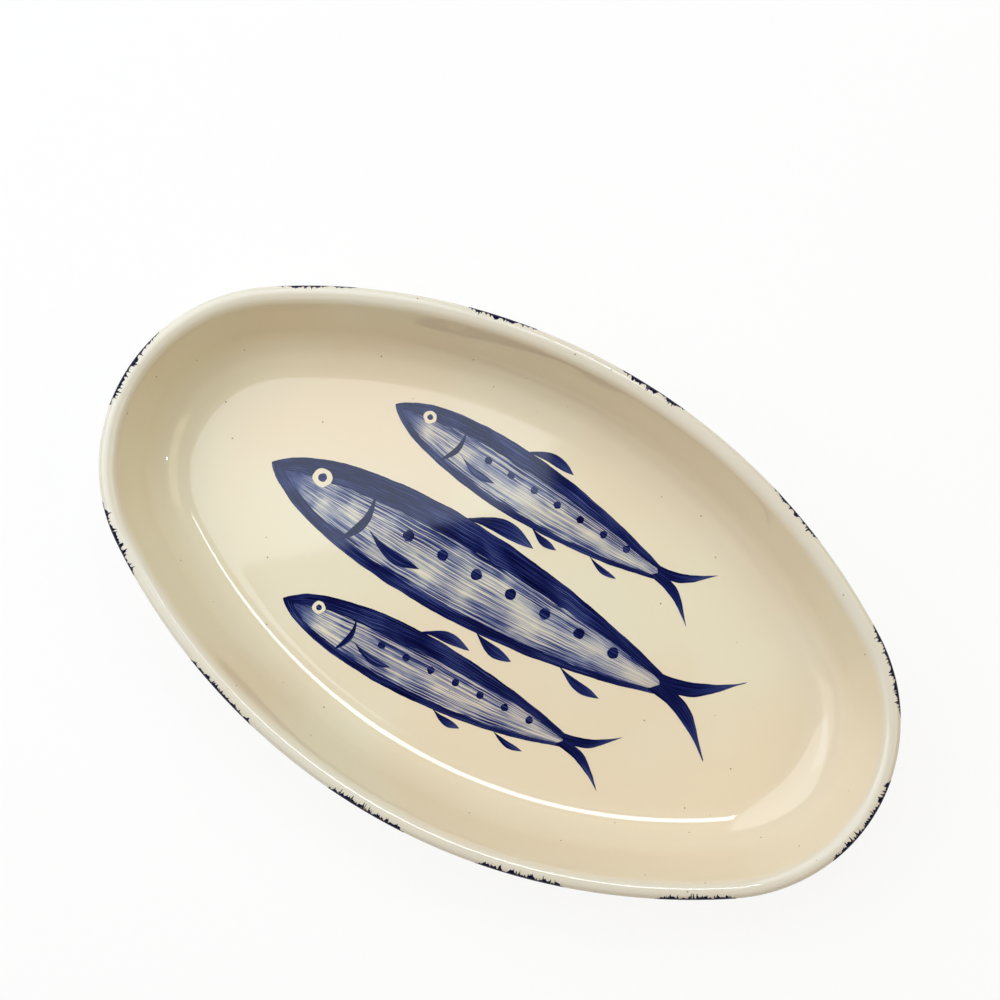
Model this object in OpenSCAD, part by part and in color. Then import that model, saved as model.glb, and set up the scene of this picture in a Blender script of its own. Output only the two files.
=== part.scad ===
/* [Dish] */
// Overall length of the rim, end to end
dish_length = 400; // [340:1:460]
// Overall width of the rim, side to side
dish_width = 235; // [210:1:270]
// Overall height from the table to the crest of the lip
dish_height = 52; // [44:1:64]
// Plan radius of the two rounded ends, at the rim
end_radius = 82; // [72:1:95]

/* [Wall and floor] */
// Slope of the wall from the floor, in degrees
wall_slope = 70; // [66:1:74]
// Thickness of the wall, glaze included
wall_thickness = 6.5; // [5.5:0.5:8]
// Thickness of the floor, glaze included
floor_thickness = 7; // [6:0.5:10]
// Radius of the hollow where the floor turns up into the wall
floor_fillet = 24; // [18:1:28]
// Radius of the turn from the outer wall to the underside
base_round = 20; // [14:1:24]

/* [Lip] */
// Radius of the outer half of the rolled lip
lip_radius = 3.2; // [2.6:0.1:4.4]
// Radius of the roll from the inner wall up to the crest of the lip
lip_roll = 6; // [4:0.5:8]
// Radius of the hollow under the lip
under_lip_fillet = 6; // [4:0.5:9]

/* [Foot ring] */
// Height of the foot ring below the underside
foot_height = 4; // [2.5:0.5:6]
// Width of the foot ring
foot_width = 7; // [5:0.5:10]
// How far the foot ring stands in from the turn of the outer wall
foot_setback = 8; // [4:0.5:14]
// Rounding of the foot ring's bottom edges
foot_edge_round = 1.2; // [0.6:0.2:2]

/* [Glaze and paint] */
// Thickness of the glaze coats
glaze_thickness = 0.6; // [0.4:0.1:0.9]
// Depth to which the cobalt paint sinks into the glaze
paint_depth = 0.25; // [0.1:0.05:0.35]

/* [Painted fish] */
// Bare floor left at each end of the middle fish
fish_end_margin = 35; // [30:0.5:60]
// Bare floor left beside the outer fish
fish_side_margin = 13; // [11:0.5:24]
// Bare floor left between neighbouring fish
fish_gap = 10; // [8:0.5:14]
// Turn of the outer fish towards the middle one at the tail, in degrees
fish_tilt = 3; // [2:0.5:5]

/* [Rim brush marks] */
// Length of the longest brush mark along the rim
mark_length = 48; // [30:1:56]

/* [Hidden] */
$fn = 180;

// How far a cutting shape runs past the face that it cuts, and a sweep past the axis that trims it
overrun = 1;
spare_turn = 3;
// Straight steps in each arc of the wall's section, and in each brush curve
arc_steps = 8;
curve_steps = 18;

// Plan of the rim: an oval of four arcs that run smoothly into each other
half_length = dish_length / 2;
half_width = dish_width / 2;
end_centre = half_length - end_radius;
side_radius = (end_centre^2 + half_width^2 - end_radius^2) / (2 * (half_width - end_radius));
side_centre = side_radius - half_width;
end_turn = atan2(side_centre, end_centre);
end_arc = end_radius * end_turn * PI / 180;
side_arc = side_radius * (90 - end_turn) * PI / 180;
rim_length = 4 * (end_arc + side_arc);

// Section through the wall: [distance out from the rim's outermost line, height above the table]
floor_top = foot_height + floor_thickness;
inner_depth = dish_height - floor_top;
roll_height = lip_roll * (1 - cos(wall_slope));
wall_run = lip_radius + lip_roll * sin(wall_slope) + (inner_depth - roll_height) / tan(wall_slope);
up_wall = [cos(wall_slope), sin(wall_slope)];
out_of_wall = [sin(wall_slope), -cos(wall_slope)];
wall_start = [-wall_run, floor_top];
floor_edge = wall_run + floor_fillet * tan(wall_slope / 2);
fillet_centre = [-floor_edge, floor_top + floor_fillet];
roll_centre = [-lip_radius, dish_height - lip_roll];
lip_centre = [-lip_radius, dish_height - lip_radius];

// The hollow under the lip touches the round of the lip and the outer face of the wall
lip_out = (lip_centre - wall_start) * out_of_wall;
lip_up = (lip_centre - wall_start) * up_wall;
under_out = wall_thickness + under_lip_fillet;
under_up = lip_up - sqrt((lip_radius + under_lip_fillet)^2 - (under_out - lip_out)^2);
under_centre = wall_start + under_up * up_wall + under_out * out_of_wall;
under_from_lip = under_centre - lip_centre;
under_angle = atan2(under_from_lip.y, under_from_lip.x);

// The turn under the wall touches the outer face of the wall and the underside
base_out = wall_thickness - base_round;
base_rise = foot_height + base_round - floor_top;
base_up = (base_rise + base_out * cos(wall_slope)) / sin(wall_slope);
base_centre = wall_start + base_up * up_wall + base_out * out_of_wall;
foot_outer = foot_setback - base_centre.x;
foot_inner = foot_outer + foot_width;

// How far in from the rim the floor reaches: to the axis of an end arc, and past the long axis
end_reach = end_radius;
side_reach = half_width + overrun;

// Angles on the lip, from its outermost line up and down, that a brush mark covers
mark_top = 75;
mark_bottom = -50;

// Where each brush mark lies, in shares of the rim from the middle of the +X end, and how long it is
mark_place_shares = [
    -0.01, 0.064, 0.141, 0.231, 0.307, 0.399, 0.499, 0.585, 0.668, 0.75, 0.826, 0.904
];
mark_length_shares = [1, 0.95, 0.62, 0.7, 0.66, 0.8, 0.8, 0.75, 0.88, 0.75, 0.88, 0.75];

// The painted fish lie on the flat of the floor, the outer two smaller
outer_length_share = 0.7;
outer_depth_share = 0.67;
fish_length = 2 * (half_length - floor_edge - fish_end_margin);
fish_room = 2 * (half_width - floor_edge - fish_side_margin - fish_gap);
fish_depth = fish_room / (1 + 2 * outer_depth_share);
fish_pitch = fish_depth * (1 + outer_depth_share) / 2 + fish_gap;
upper_fish = 1;
middle_fish = 0;
lower_fish = -1;

// Brush curves of a fish from its snout to its tail root, in shares of its length and depth
back_shares = [[0, 0], [0.09, 0.58], [0.46, 0.7], [0.86, 0.1]];
back_edge_shares = [[0.03, 0], [0.16, 0.26], [0.5, 0.34], [0.86, 0.03]];
belly_edge_shares = [[0.03, 0], [0.11, -0.4], [0.52, -0.6], [0.86, -0.05]];
belly_shares = [[0, 0], [0.07, -0.52], [0.5, -0.76], [0.86, -0.1]];

// Edge of the tail's upper lobe, from the tail root out to its tip and back to the fork
tail_edge_shares = [[0.84, 0.1], [0.9, 0.12], [0.95, 0.26], [1, 0.46]];
tail_fork_shares = [[1, 0.46], [0.97, 0.26], [0.945, 0.1], [0.935, 0]];

// Single dabs of the brush: start, end, width and bend, in shares of the fish's length and depth;
// the power sets how far along a dab is widest
dab_swell_power = 1.4;
fin_shares = [
    [[0.37, 0.46], [0.52, 0.56], 0.17, 0.1],
    [[0.5, -0.46], [0.59, -0.55], 0.12, -0.08],
    [[0.67, -0.34], [0.77, -0.43], 0.1, -0.08]
];
gill_shares = [[0.2, 0.32], [0.185, -0.37], 0.09, 0.16];
pectoral_shares = [[0.225, -0.1], [0.35, -0.2], 0.12, -0.1];

// The eye, and the row of spots along the flank, in the same shares; radii are shares of the depth
eye_place_share = [0.1, 0.12];
eye_radius_share = 0.1;
pupil_radius_share = 0.045;
spot_count = 7;
spot_first_share = 0.3;
spot_last_share = 0.75;
spot_height_share = 0.04;
spot_radius_share = 0.058;

// A list without its first point, and a list turned end for end
function rest(list) = [for (i = [1:len(list) - 1]) list[i]];
function reversed(list) = [for (i = [1:len(list)]) list[len(list) - i]];

// Points of an arc, and of a cubic brush curve through its four control points
function arc(centre, radius, from, to) =
    [for (i = [0:arc_steps]) centre + radius * [cos(from + (to - from) * i / arc_steps),
                                                sin(from + (to - from) * i / arc_steps)]];
function on_curve(p, t) =
    (1 - t)^3 * p[0] + 3 * (1 - t)^2 * t * p[1] + 3 * (1 - t) * t^2 * p[2] + t^3 * p[3];
function curve(p) = [for (i = [0:curve_steps]) on_curve(p, i / curve_steps)];

// The dish's skin at a given depth under the glazed surface: floor edge to crest, and crest to foot
function inner_skin(depth) = concat(
    arc(fillet_centre, floor_fillet + depth, -90, wall_slope - 90),
    arc(roll_centre, lip_roll - depth, 90 + wall_slope, 90));
function outer_skin(depth) = concat(
    arc(lip_centre, lip_radius - depth, 90, under_angle),
    rest(arc(under_centre, under_lip_fillet + depth, under_angle + 180, 90 + wall_slope)),
    arc(base_centre, base_round - depth, wall_slope - 90, -90),
    [[-foot_outer, foot_height + depth]]);

// The bare foot ring, from its outer face round to its inner face
function foot_line() = concat(
    arc([-foot_outer - foot_edge_round, foot_edge_round], foot_edge_round, 0, -90),
    arc([-foot_inner + foot_edge_round, foot_edge_round], foot_edge_round, -90, -180),
    [[-foot_inner, foot_height + glaze_thickness]]);

// Sections of the dish, from the lip in to a given reach
function clay_section(reach) = concat(
    [[-reach, floor_top - glaze_thickness]],
    inner_skin(glaze_thickness),
    rest(outer_skin(glaze_thickness)),
    foot_line(),
    [[-reach, foot_height + glaze_thickness]]);
function inside_glaze_section(reach) = concat(
    [[-reach, floor_top]],
    inner_skin(0),
    reversed(inner_skin(glaze_thickness)),
    [[-reach, floor_top - glaze_thickness]]);
function outside_glaze_section() = concat(
    outer_skin(0),
    reversed(outer_skin(glaze_thickness)));
function base_glaze_section(reach) = [
    [-reach, foot_height], [-foot_inner, foot_height],
    [-foot_inner, foot_height + glaze_thickness], [-reach, foot_height + glaze_thickness]];
function mark_section(raise) = concat(
    arc(lip_centre, lip_radius + raise, mark_top, mark_bottom),
    arc(lip_centre, lip_radius - paint_depth, mark_bottom, mark_top));

// One section swept along an end arc and a side arc, from the point where the two arcs meet
module swept_arcs(end_section, side_section) {
    translate([end_centre, 0, 0])
        rotate(end_turn) {
            mirror([0, 1, 0])
                rotate_extrude(angle = end_turn + spare_turn)
                    translate([end_radius, 0])
                        polygon(end_section);
            translate([end_radius - side_radius, 0, 0])
                rotate_extrude(angle = 90 - end_turn + spare_turn)
                    translate([side_radius, 0])
                        polygon(side_section);
        }
}

// A quarter of the dish, cut square along the long axis and the short axis, and its mirror images
module dish_sweep(end_section, side_section) {
    for (across = [0, 1], along = [0, 1])
        mirror([across, 0, 0])
            mirror([0, along, 0])
                intersection() {
                    swept_arcs(end_section, side_section);
                    translate([0, 0, -overrun])
                        cube([dish_length, dish_width, dish_height + 2 * overrun]);
                }
}

// A sweep that stays near the rim
module rim_sweep(section) {
    dish_sweep(section, section);
}

// The way the rim faces at a distance along it from the middle of the +X end
function quarter_facing(s) =
    s < end_arc ? s / end_radius * 180 / PI : end_turn + (s - end_arc) / side_radius * 180 / PI;
function rim_facing(s) =
    let (quarter = rim_length / 4, turn = floor(s / quarter), part = s - turn * quarter)
    turn % 2 == 0 ? 90 * turn + quarter_facing(part) : 90 * (turn + 1) - quarter_facing(quarter - part);

// The rim's outermost point where it faces a given way
function rim_point(facing) =
    let (c = cos(facing), s = sin(facing))
    abs(s) < sin(end_turn)
        ? [sign(c) * end_centre + end_radius * c, end_radius * s]
        : [side_radius * c, side_radius * s - sign(s) * side_centre];

// Upright slabs across the rim, one for each brush mark
module mark_slabs() {
    for (i = [0:len(mark_place_shares) - 1]) {
        facing = rim_facing(rim_length * mark_place_shares[i]);
        reach = mark_length * mark_length_shares[i];
        translate(rim_point(facing))
            rotate(facing)
                translate([-end_radius / 2, -reach / 2, 0])
                    cube([end_radius, reach, dish_height + overrun]);
    }
}

module rim_marks(raise) {
    intersection() {
        rim_sweep(mark_section(raise));
        mark_slabs();
    }
}

// Flat shapes of one fish: its snout points to -X and its middle is at the origin
function fish_size(row) =
    row == middle_fish
        ? [fish_length, fish_depth]
        : [outer_length_share * fish_length, outer_depth_share * fish_depth];
function placed(share, size) = [(share.x - 1 / 2) * size.x, share.y * size.y];
function placed_all(shares, size) = [for (share = shares) placed(share, size)];

// The outline of a dab swells from a point at its start and rounds off at its end
function dab_outline(dab, size) =
    let (from = placed(dab[0], size), to = placed(dab[1], size), run = to - from)
    let (aside = [-run.y, run.x] / norm(run), reach = norm(run))
    let (swell = [for (i = [0:curve_steps]) sin(180 * (i / curve_steps)^dab_swell_power)])
    let (middle = [for (i = [0:curve_steps])
        from + run * i / curve_steps + aside * reach * dab[3] * sin(180 * i / curve_steps)])
    concat(
        [for (i = [0:curve_steps]) middle[i] + aside * dab[2] * size.y / 2 * swell[i]],
        [for (i = [1:curve_steps - 1])
            middle[curve_steps - i] - aside * dab[2] * size.y / 2 * swell[curve_steps - i]]);

// The space between two lines of points that both run from the head to the tail
module band(upper, lower, size) {
    polygon(placed_all(concat(upper, reversed(lower)), size));
}

module body_shape(size) {
    band(curve(back_shares), rest(curve(belly_shares)), size);
}

module dab_shapes(dabs, size) {
    for (dab = dabs)
        polygon(dab_outline(dab, size));
}

module eye_shape(radius_share, size) {
    translate(placed(eye_place_share, size))
        circle(r = radius_share * size.y);
}

module spot_shapes(size) {
    for (i = [0:spot_count - 1]) {
        along = spot_first_share + (spot_last_share - spot_first_share) * i / (spot_count - 1);
        translate(placed([along, spot_height_share], size))
            circle(r = spot_radius_share * size.y);
    }
}

// What is painted dark inside a fish's outline
module dark_shapes(size) {
    band(curve(back_shares), curve(back_edge_shares), size);
    band(curve(belly_edge_shares), curve(belly_shares), size);
    dab_shapes([gill_shares, pectoral_shares], size);
    spot_shapes(size);
}

// The forked tail: its upper lobe, then the same points again below the long axis
module tail_shape(size) {
    upper = concat(curve(tail_edge_shares), rest(curve(tail_fork_shares)));
    lower = [for (share = rest(reversed(upper))) [share.x, -share.y]];
    polygon(placed_all(concat(upper, lower), size));
}

module tail_and_fins(size) {
    tail_shape(size);
    dab_shapes(fin_shares, size);
}

// Everything painted on one fish; the white of the eye stays bare glaze
module painted_shapes(size) {
    difference() {
        union() {
            body_shape(size);
            tail_and_fins(size);
        }
        eye_shape(eye_radius_share, size);
    }
    eye_shape(pupil_radius_share, size);
}

// Paint of one row's fish, sunk into the floor's glaze to a flush top, or raised past it
module on_floor(row, raise = 0) {
    translate([0, row * fish_pitch, floor_top - paint_depth])
        rotate(-row * fish_tilt)
            linear_extrude(paint_depth + raise)
                children();
}

// Fired clay dish with its foot ring
module clay_body() {
    color([0.80, 0.69, 0.55])
        dish_sweep(clay_section(end_reach), clay_section(side_reach));
}

// Cream glaze poured over the floor and the inner wall, up to the crest of the lip
module inside_glaze() {
    color([0.93, 0.88, 0.78])
        difference() {
            dish_sweep(inside_glaze_section(end_reach), inside_glaze_section(side_reach));
            for (row = [lower_fish, middle_fish, upper_fish])
                on_floor(row, overrun)
                    painted_shapes(fish_size(row));
        }
}

// Cream glaze over the outside, from the crest of the lip down to the foot ring
module outside_glaze() {
    color([0.92, 0.87, 0.77])
        difference() {
            rim_sweep(outside_glaze_section());
            rim_marks(overrun);
        }
}

// Cream glaze on the underside, inside the foot ring
module base_glaze() {
    color([0.91, 0.86, 0.76])
        dish_sweep(base_glaze_section(end_reach), base_glaze_section(side_reach));
}

// Cobalt dabs dragged over the edge of the lip
module rim_brush_marks() {
    color([0.05, 0.08, 0.30])
        rim_marks(0);
}

// Pale streaky wash on a fish's flank
module fish_flank(row) {
    size = fish_size(row);
    color([0.45, 0.50, 0.68])
        on_floor(row)
            difference() {
                body_shape(size);
                dark_shapes(size);
                eye_shape(eye_radius_share, size);
            }
}

// Full-strength cobalt on a fish's back, belly line, gill, spots and pupil
module fish_back(row) {
    size = fish_size(row);
    color([0.03, 0.05, 0.26])
        on_floor(row) {
            difference() {
                dark_shapes(size);
                eye_shape(eye_radius_share, size);
            }
            eye_shape(pupil_radius_share, size);
        }
}

// Brush dabs of a fish's fins and forked tail
module fish_fins(row) {
    size = fish_size(row);
    color([0.06, 0.10, 0.36])
        on_floor(row)
            difference() {
                tail_and_fins(size);
                body_shape(size);
            }
}

clay_body();
inside_glaze();
outside_glaze();
base_glaze();
rim_brush_marks();
fish_flank(upper_fish);  // upper_fish_flank
fish_back(upper_fish);  // upper_fish_back
fish_fins(upper_fish);  // upper_fish_fins
fish_flank(middle_fish);  // middle_fish_flank
fish_back(middle_fish);  // middle_fish_back
fish_fins(middle_fish);  // middle_fish_fins
fish_flank(lower_fish);  // lower_fish_flank
fish_back(lower_fish);  // lower_fish_back
fish_fins(lower_fish);  // lower_fish_fins
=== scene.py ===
# %% [markdown]
# # An oval platter with cobalt brushwork
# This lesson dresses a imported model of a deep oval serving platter. The real one is a single fired
# piece: buff clay, a glossy cream glaze over it, and cobalt paint that melted into the glaze. The
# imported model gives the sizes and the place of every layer. It is loaded first and stays as it is.

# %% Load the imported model
import math
import random

import bmesh
import bpy
from mathutils import Matrix, Vector, geometry, noise


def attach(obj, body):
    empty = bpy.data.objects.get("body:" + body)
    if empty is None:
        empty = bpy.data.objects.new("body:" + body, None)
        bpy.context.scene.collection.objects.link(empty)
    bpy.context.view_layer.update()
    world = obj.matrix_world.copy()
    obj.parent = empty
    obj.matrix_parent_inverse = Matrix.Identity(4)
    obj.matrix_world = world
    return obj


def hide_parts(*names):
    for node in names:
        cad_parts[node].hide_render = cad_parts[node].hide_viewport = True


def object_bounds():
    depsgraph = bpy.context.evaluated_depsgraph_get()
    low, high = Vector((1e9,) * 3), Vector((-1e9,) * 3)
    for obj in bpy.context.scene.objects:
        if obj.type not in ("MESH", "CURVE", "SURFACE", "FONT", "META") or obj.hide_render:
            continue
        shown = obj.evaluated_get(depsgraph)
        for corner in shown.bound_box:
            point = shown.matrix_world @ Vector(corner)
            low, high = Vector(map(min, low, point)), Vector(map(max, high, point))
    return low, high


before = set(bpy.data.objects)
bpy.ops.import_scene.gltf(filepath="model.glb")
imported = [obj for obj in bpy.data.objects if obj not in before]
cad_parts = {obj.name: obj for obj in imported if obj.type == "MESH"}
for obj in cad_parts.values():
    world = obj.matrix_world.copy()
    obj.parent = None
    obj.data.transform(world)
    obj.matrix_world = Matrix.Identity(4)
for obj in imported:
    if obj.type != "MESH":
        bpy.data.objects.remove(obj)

cad_low, cad_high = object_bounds()
length, width, height = (round(size, 3) for size in cad_high - cad_low)
print("platter", length, "x", width, "x", height, "m")

# %% [markdown]
# ## Camera
# The photograph looks almost straight down, with the platter turned about thirty degrees in the frame.
# A camera that looks down has no safe "up", so its three axes are written out instead of being tracked
# to a target. The focal length is given in pixels of a square picture.

# %% Camera
CAMERA_TURN = math.radians(29.81)
CAMERA_RISE = math.radians(85.5)
CAMERA_DISTANCE = 0.8
CAMERA_AIM = Vector((-0.0193, 0.0363, 0.0488))
FOCAL_PIXELS = 1732.6
PICTURE_PIXELS = 1000

camera_right = Vector((math.cos(CAMERA_TURN), math.sin(CAMERA_TURN), 0.0))
camera_back = Vector((
    math.sin(CAMERA_TURN) * math.cos(CAMERA_RISE),
    -math.cos(CAMERA_TURN) * math.cos(CAMERA_RISE),
    math.sin(CAMERA_RISE),
))
camera_up = camera_back.cross(camera_right)

camera_data = bpy.data.cameras.new("camera")
camera_data.lens = camera_data.sensor_width * FOCAL_PIXELS / PICTURE_PIXELS
camera = bpy.data.objects.new("camera", camera_data)
bpy.context.scene.collection.objects.link(camera)
axes = Matrix((camera_right, camera_up, camera_back)).transposed().to_4x4()
camera.matrix_world = Matrix.Translation(CAMERA_AIM + camera_back * CAMERA_DISTANCE) @ axes
bpy.context.scene.camera = camera
bpy.context.scene.view_settings.view_transform = "Standard"
print("lens", round(camera_data.lens, 1), "mm")

# %% [markdown]
# ## Light
# A glazed dish is a mirror with a colour under it, so its light is chosen for what the glaze shows. The
# key panel hangs at the far left of the picture: it leaves the far wall dark, and lays a pale veil over
# the heads of the two upper fish. Weaker panels at the left and right fill the shadows. A small bright
# one draws the thin white lines along the hollow of the floor and the crest of the lip, and a very small
# lamp leaves glints. The world adds a warm rest, darkest overhead, where the flat floor mirrors it.

# %% Light
WHITE = (1.0, 1.0, 1.0)
COOL = (0.78, 0.885, 1.0)
WARM = (1.0, 0.9, 0.55)

picture_up = Vector((-math.sin(CAMERA_TURN), math.cos(CAMERA_TURN), 0.0))


def panel_lamp(name, right, up, distance, size, power, colour=WHITE):
    """A rectangular lamp, some degrees to the right and up of straight overhead in the picture."""
    data = bpy.data.lights.new(name, "AREA")
    data.shape = "RECTANGLE"
    data.size, data.size_y = size
    data.energy = power
    data.color = colour
    lamp = bpy.data.objects.new(name, data)
    bpy.context.scene.collection.objects.link(lamp)
    lean = camera_right * math.tan(math.radians(right)) + picture_up * math.tan(math.radians(up))
    towards = (lean + Vector((0.0, 0.0, 1.0))).normalized()
    side = (camera_right - towards * camera_right.dot(towards)).normalized()
    axes = Matrix((side, towards.cross(side), towards)).transposed().to_4x4()
    lamp.matrix_world = Matrix.Translation(towards * distance) @ axes


panel_lamp("key_panel", -29, 31, 1.5, (1.6, 1.6), 17.4, COOL)
panel_lamp("left_panel", -50, 0, 1.6, (0.8, 1.2), 3.4)
panel_lamp("right_panel", 42, 5, 1.6, (0.6, 1.2), 3.4, WARM)
panel_lamp("bright_panel", 11, 25, 1.6, (0.32, 0.24), 2.8, COOL)
panel_lamp("glint_lamp", 58, 5, 1.8, (0.07, 0.04), 0.9)

# %% World
# From the horizon to straight up: how far up, and how bright
SKY_BANDS = [(0.1, 0.1), (0.45, 0.3), (0.7, 0.62), (0.92, 0.06)]
SKY_COLOUR = Vector((1.0, 0.875, 0.69))

world = bpy.data.worlds.new("studio")
world.use_nodes = True
sky = world.node_tree
facing = sky.nodes.new("ShaderNodeTexCoord")
upward = sky.nodes.new("ShaderNodeSeparateXYZ")
bands = sky.nodes.new("ShaderNodeValToRGB")
sky.links.new(facing.outputs["Generated"], upward.inputs[0])
sky.links.new(upward.outputs["Z"], bands.inputs["Fac"])
sky.links.new(bands.outputs["Color"], sky.nodes["Background"].inputs["Color"])
while len(bands.color_ramp.elements) < len(SKY_BANDS):
    bands.color_ramp.elements.new(0.5)
for element, (position, level) in zip(bands.color_ramp.elements, SKY_BANDS):
    element.position = position
    element.color = (*(SKY_COLOUR * level), 1.0)
bpy.context.scene.world = world
print("lamps", [lamp.name for lamp in bpy.data.lights])

# %% [markdown]
# ## Small helpers for shader nodes
# Every finish below is a node tree. These few functions add a node, set or link its sockets and give
# back its output, so that a material reads from top to bottom like a recipe.

# %% Node helpers
def srgb(red, green, blue):
    """A colour as a paint program shows it, 0 to 255, turned into the linear light shaders use."""
    linear = []
    for value in (red / 255, green / 255, blue / 255):
        linear.append(value / 12.92 if value <= 0.04045 else ((value + 0.055) / 1.055) ** 2.4)
    return (*linear, 1.0)


def add(tree, kind, inputs=None, **settings):
    """A new node with its settings made and its inputs set or linked."""
    made = tree.nodes.new(kind)
    for name, value in settings.items():
        setattr(made, name, value)
    for name, value in (inputs or {}).items():
        if isinstance(value, bpy.types.NodeSocket):
            tree.links.new(value, made.inputs[name])
        else:
            made.inputs[name].default_value = value
    return made


def calc(tree, operation, first, second=0.0):
    return add(tree, "ShaderNodeMath", {0: first, 1: second}, operation=operation).outputs[0]


def fade(tree, value, low, high, start=0.0, end=1.0):
    """A soft step from start to end as value goes from low to high."""
    sockets = {"Value": value, "From Min": low, "From Max": high, "To Min": start, "To Max": end}
    step = add(tree, "ShaderNodeMapRange", sockets, interpolation_type="SMOOTHSTEP")
    return step.outputs["Result"]


def mixed(tree, share, first, second):
    blend = add(tree, "ShaderNodeMix", {0: share, 6: first, 7: second}, data_type="RGBA")
    return blend.outputs[2]


def mottle(tree, place, scale, detail=2.0, stretch=(1.0, 1.0, 1.0), shift=0.0):
    """Noise from 0 to 1, which can be stretched along an axis and shifted to a fresh patch."""
    where = add(tree, "ShaderNodeMapping", {"Vector": place, "Scale": stretch, "Location": (shift,) * 3})
    grain = add(tree, "ShaderNodeTexNoise",
                {"Vector": where.outputs[0], "Scale": scale, "Detail": detail})
    return grain.outputs["Fac"]


def new_material(name):
    material = bpy.data.materials.new(name)
    material.use_nodes = True
    return material, material.node_tree, material.node_tree.nodes["Principled BSDF"]


print("helpers ready")

# %% [markdown]
# ## Cream glaze
# The glaze is a thick clear gloss over a warm cream. Up close it isn't even: the cream drifts between
# a cooler and a warmer tone, small iron specks came through in the kiln, and on the crest of the lip
# the glaze ran thin and turned a little greyer. Long, shallow waves bend its reflections. The colour
# is a function of its own, because the paint shows the same cream wherever the brush ran dry.

# %% Cream glaze
CREAM_COOL = srgb(238, 229, 204)
CREAM_WARM = srgb(238, 222, 195)
CREAM_THIN = srgb(231, 226, 214)
SPECK = srgb(150, 122, 84)
GLAZE_ROUGHNESS = 0.05
GLAZE_IOR = 1.52
GLAZE_WAVE = 0.0001
CREST_DEPTH = 0.004
CREST_SHARE = 0.7
# How fine the drift of the cream, the specks and the waves are: about so many to a metre
DRIFT_SCALE, SPECK_SCALE, WAVE_SCALE = 9.0, 85.0, 26.0


def cream_colour(tree):
    """The cream of the glaze, with its drift, its greyer crest and its specks."""
    place = add(tree, "ShaderNodeTexCoord").outputs["Object"]
    drift = fade(tree, mottle(tree, place, DRIFT_SCALE), 0.38, 0.62)
    cream = mixed(tree, drift, CREAM_COOL, CREAM_WARM)

    rise = add(tree, "ShaderNodeSeparateXYZ", {0: place}).outputs["Z"]
    crest = fade(tree, rise, height - CREST_DEPTH, height, 0.0, CREST_SHARE)
    cream = mixed(tree, crest, cream, CREAM_THIN)

    cells = add(tree, "ShaderNodeTexVoronoi", {"Vector": place, "Scale": SPECK_SCALE})
    speck = fade(tree, cells.outputs["Distance"], 0.045, 0.02)
    return mixed(tree, speck, cream, SPECK)


def glaze_waves(tree):
    """A normal that long, shallow waves bend."""
    place = add(tree, "ShaderNodeTexCoord").outputs["Object"]
    waves = mottle(tree, place, WAVE_SCALE, 1.0)
    bump = add(tree, "ShaderNodeBump", {"Height": waves, "Distance": GLAZE_WAVE, "Strength": 1.0})
    return bump.outputs["Normal"]


cream_glaze, tree, gloss = new_material("cream_glaze")
tree.links.new(cream_colour(tree), gloss.inputs["Base Color"])
tree.links.new(glaze_waves(tree), gloss.inputs["Normal"])
gloss.inputs["Roughness"].default_value = GLAZE_ROUGHNESS
gloss.inputs["IOR"].default_value = GLAZE_IOR
print("cream_glaze", len(tree.nodes), "nodes")

# %% [markdown]
# ## Fired clay
# Only the foot ring is left unglazed, so that the dish doesn't stick to the kiln shelf. It is matt,
# buff and gritty, and a little darker where it has stood on tables.

# %% Fired clay
CLAY_PALE = srgb(206, 180, 146)
CLAY_DARK = srgb(170, 138, 104)
CLAY_ROUGHNESS = 0.9
GRIT_SCALE, PATCH_SCALE = 900.0, 45.0
GRIT_DEPTH = 0.0002

fired_clay, tree, matt = new_material("fired_clay")
place = add(tree, "ShaderNodeTexCoord").outputs["Object"]
grit = mottle(tree, place, GRIT_SCALE, 6.0)
patch = mottle(tree, place, PATCH_SCALE, 4.0)
worn = calc(tree, "ADD", calc(tree, "MULTIPLY", grit, 0.5), calc(tree, "MULTIPLY", patch, 0.5))
clay = mixed(tree, fade(tree, worn, 0.35, 0.65), CLAY_DARK, CLAY_PALE)
tree.links.new(clay, matt.inputs["Base Color"])
matt.inputs["Roughness"].default_value = CLAY_ROUGHNESS
bump = add(tree, "ShaderNodeBump", {"Height": grit, "Distance": GRIT_DEPTH, "Strength": 0.7})
tree.links.new(bump.outputs["Normal"], matt.inputs["Normal"])

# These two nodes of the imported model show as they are, in a finish of their own
for node, material in (("clay_body", fired_clay), ("base_glaze", cream_glaze)):
    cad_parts[node].data.materials.clear()
    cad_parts[node].data.materials.append(material)
print("fired_clay", len(tree.nodes), "nodes")

# %% [markdown]
# ## The plan of the rim
# Potters set out an oval with four arcs: two tight ones at the ends and two wide ones at the sides,
# which meet without a corner. The end radius is chosen, and the side radius then follows. A function
# gives the point and the outward direction of the rim at any distance along it.

# %% Plan of the rim
END_RADIUS = 0.082

half_length, half_width = length / 2, width / 2
end_centre = half_length - END_RADIUS
side_radius = (end_centre**2 + half_width**2 - END_RADIUS**2) / (2 * (half_width - END_RADIUS))
side_centre = side_radius - half_width
end_turn = math.atan2(side_centre, end_centre)

# Each arc: its centre, its radius and the angle that it turns, from the middle of the +X end
rim_arcs = [
    (Vector((end_centre, 0, 0)), END_RADIUS, end_turn),
    (Vector((0, -side_centre, 0)), side_radius, math.pi - 2 * end_turn),
    (Vector((-end_centre, 0, 0)), END_RADIUS, 2 * end_turn),
    (Vector((0, side_centre, 0)), side_radius, math.pi - 2 * end_turn),
    (Vector((end_centre, 0, 0)), END_RADIUS, end_turn),
]
rim_length = sum(radius * turn for _, radius, turn in rim_arcs)


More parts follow.
